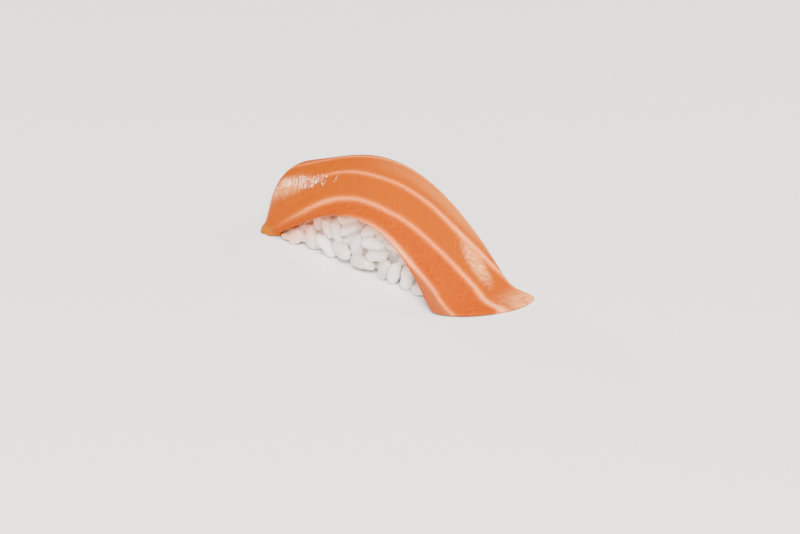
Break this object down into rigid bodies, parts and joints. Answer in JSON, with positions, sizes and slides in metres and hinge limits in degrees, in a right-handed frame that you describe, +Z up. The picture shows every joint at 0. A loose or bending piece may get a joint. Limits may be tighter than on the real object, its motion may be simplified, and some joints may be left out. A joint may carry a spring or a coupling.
{
  "type": "salmon nigiri sushi",
  "caption": "Nigiri sushi: a slice of raw salmon with pale fat lines, draped over a pressed bed of white rice, its thin tail lying flat in front.",
  "frame": {"origin": "middle of the bottom of the whole piece, on the surface it stands on", "axes": "+X along the slice towards its thin tail, -Y towards the side whose rice shows in the picture, +Z up"},
  "size_m": [0.0898, 0.0292, 0.0294],
  "materials": {
    "cooked_rice": "moist, slightly glossy",
    "raw_salmon": "wet, glossy"
  },
  "bodies": {
    "root": {"rice": "cooked_rice", "salmon": "raw_salmon"}
  },
  "joints": []
}
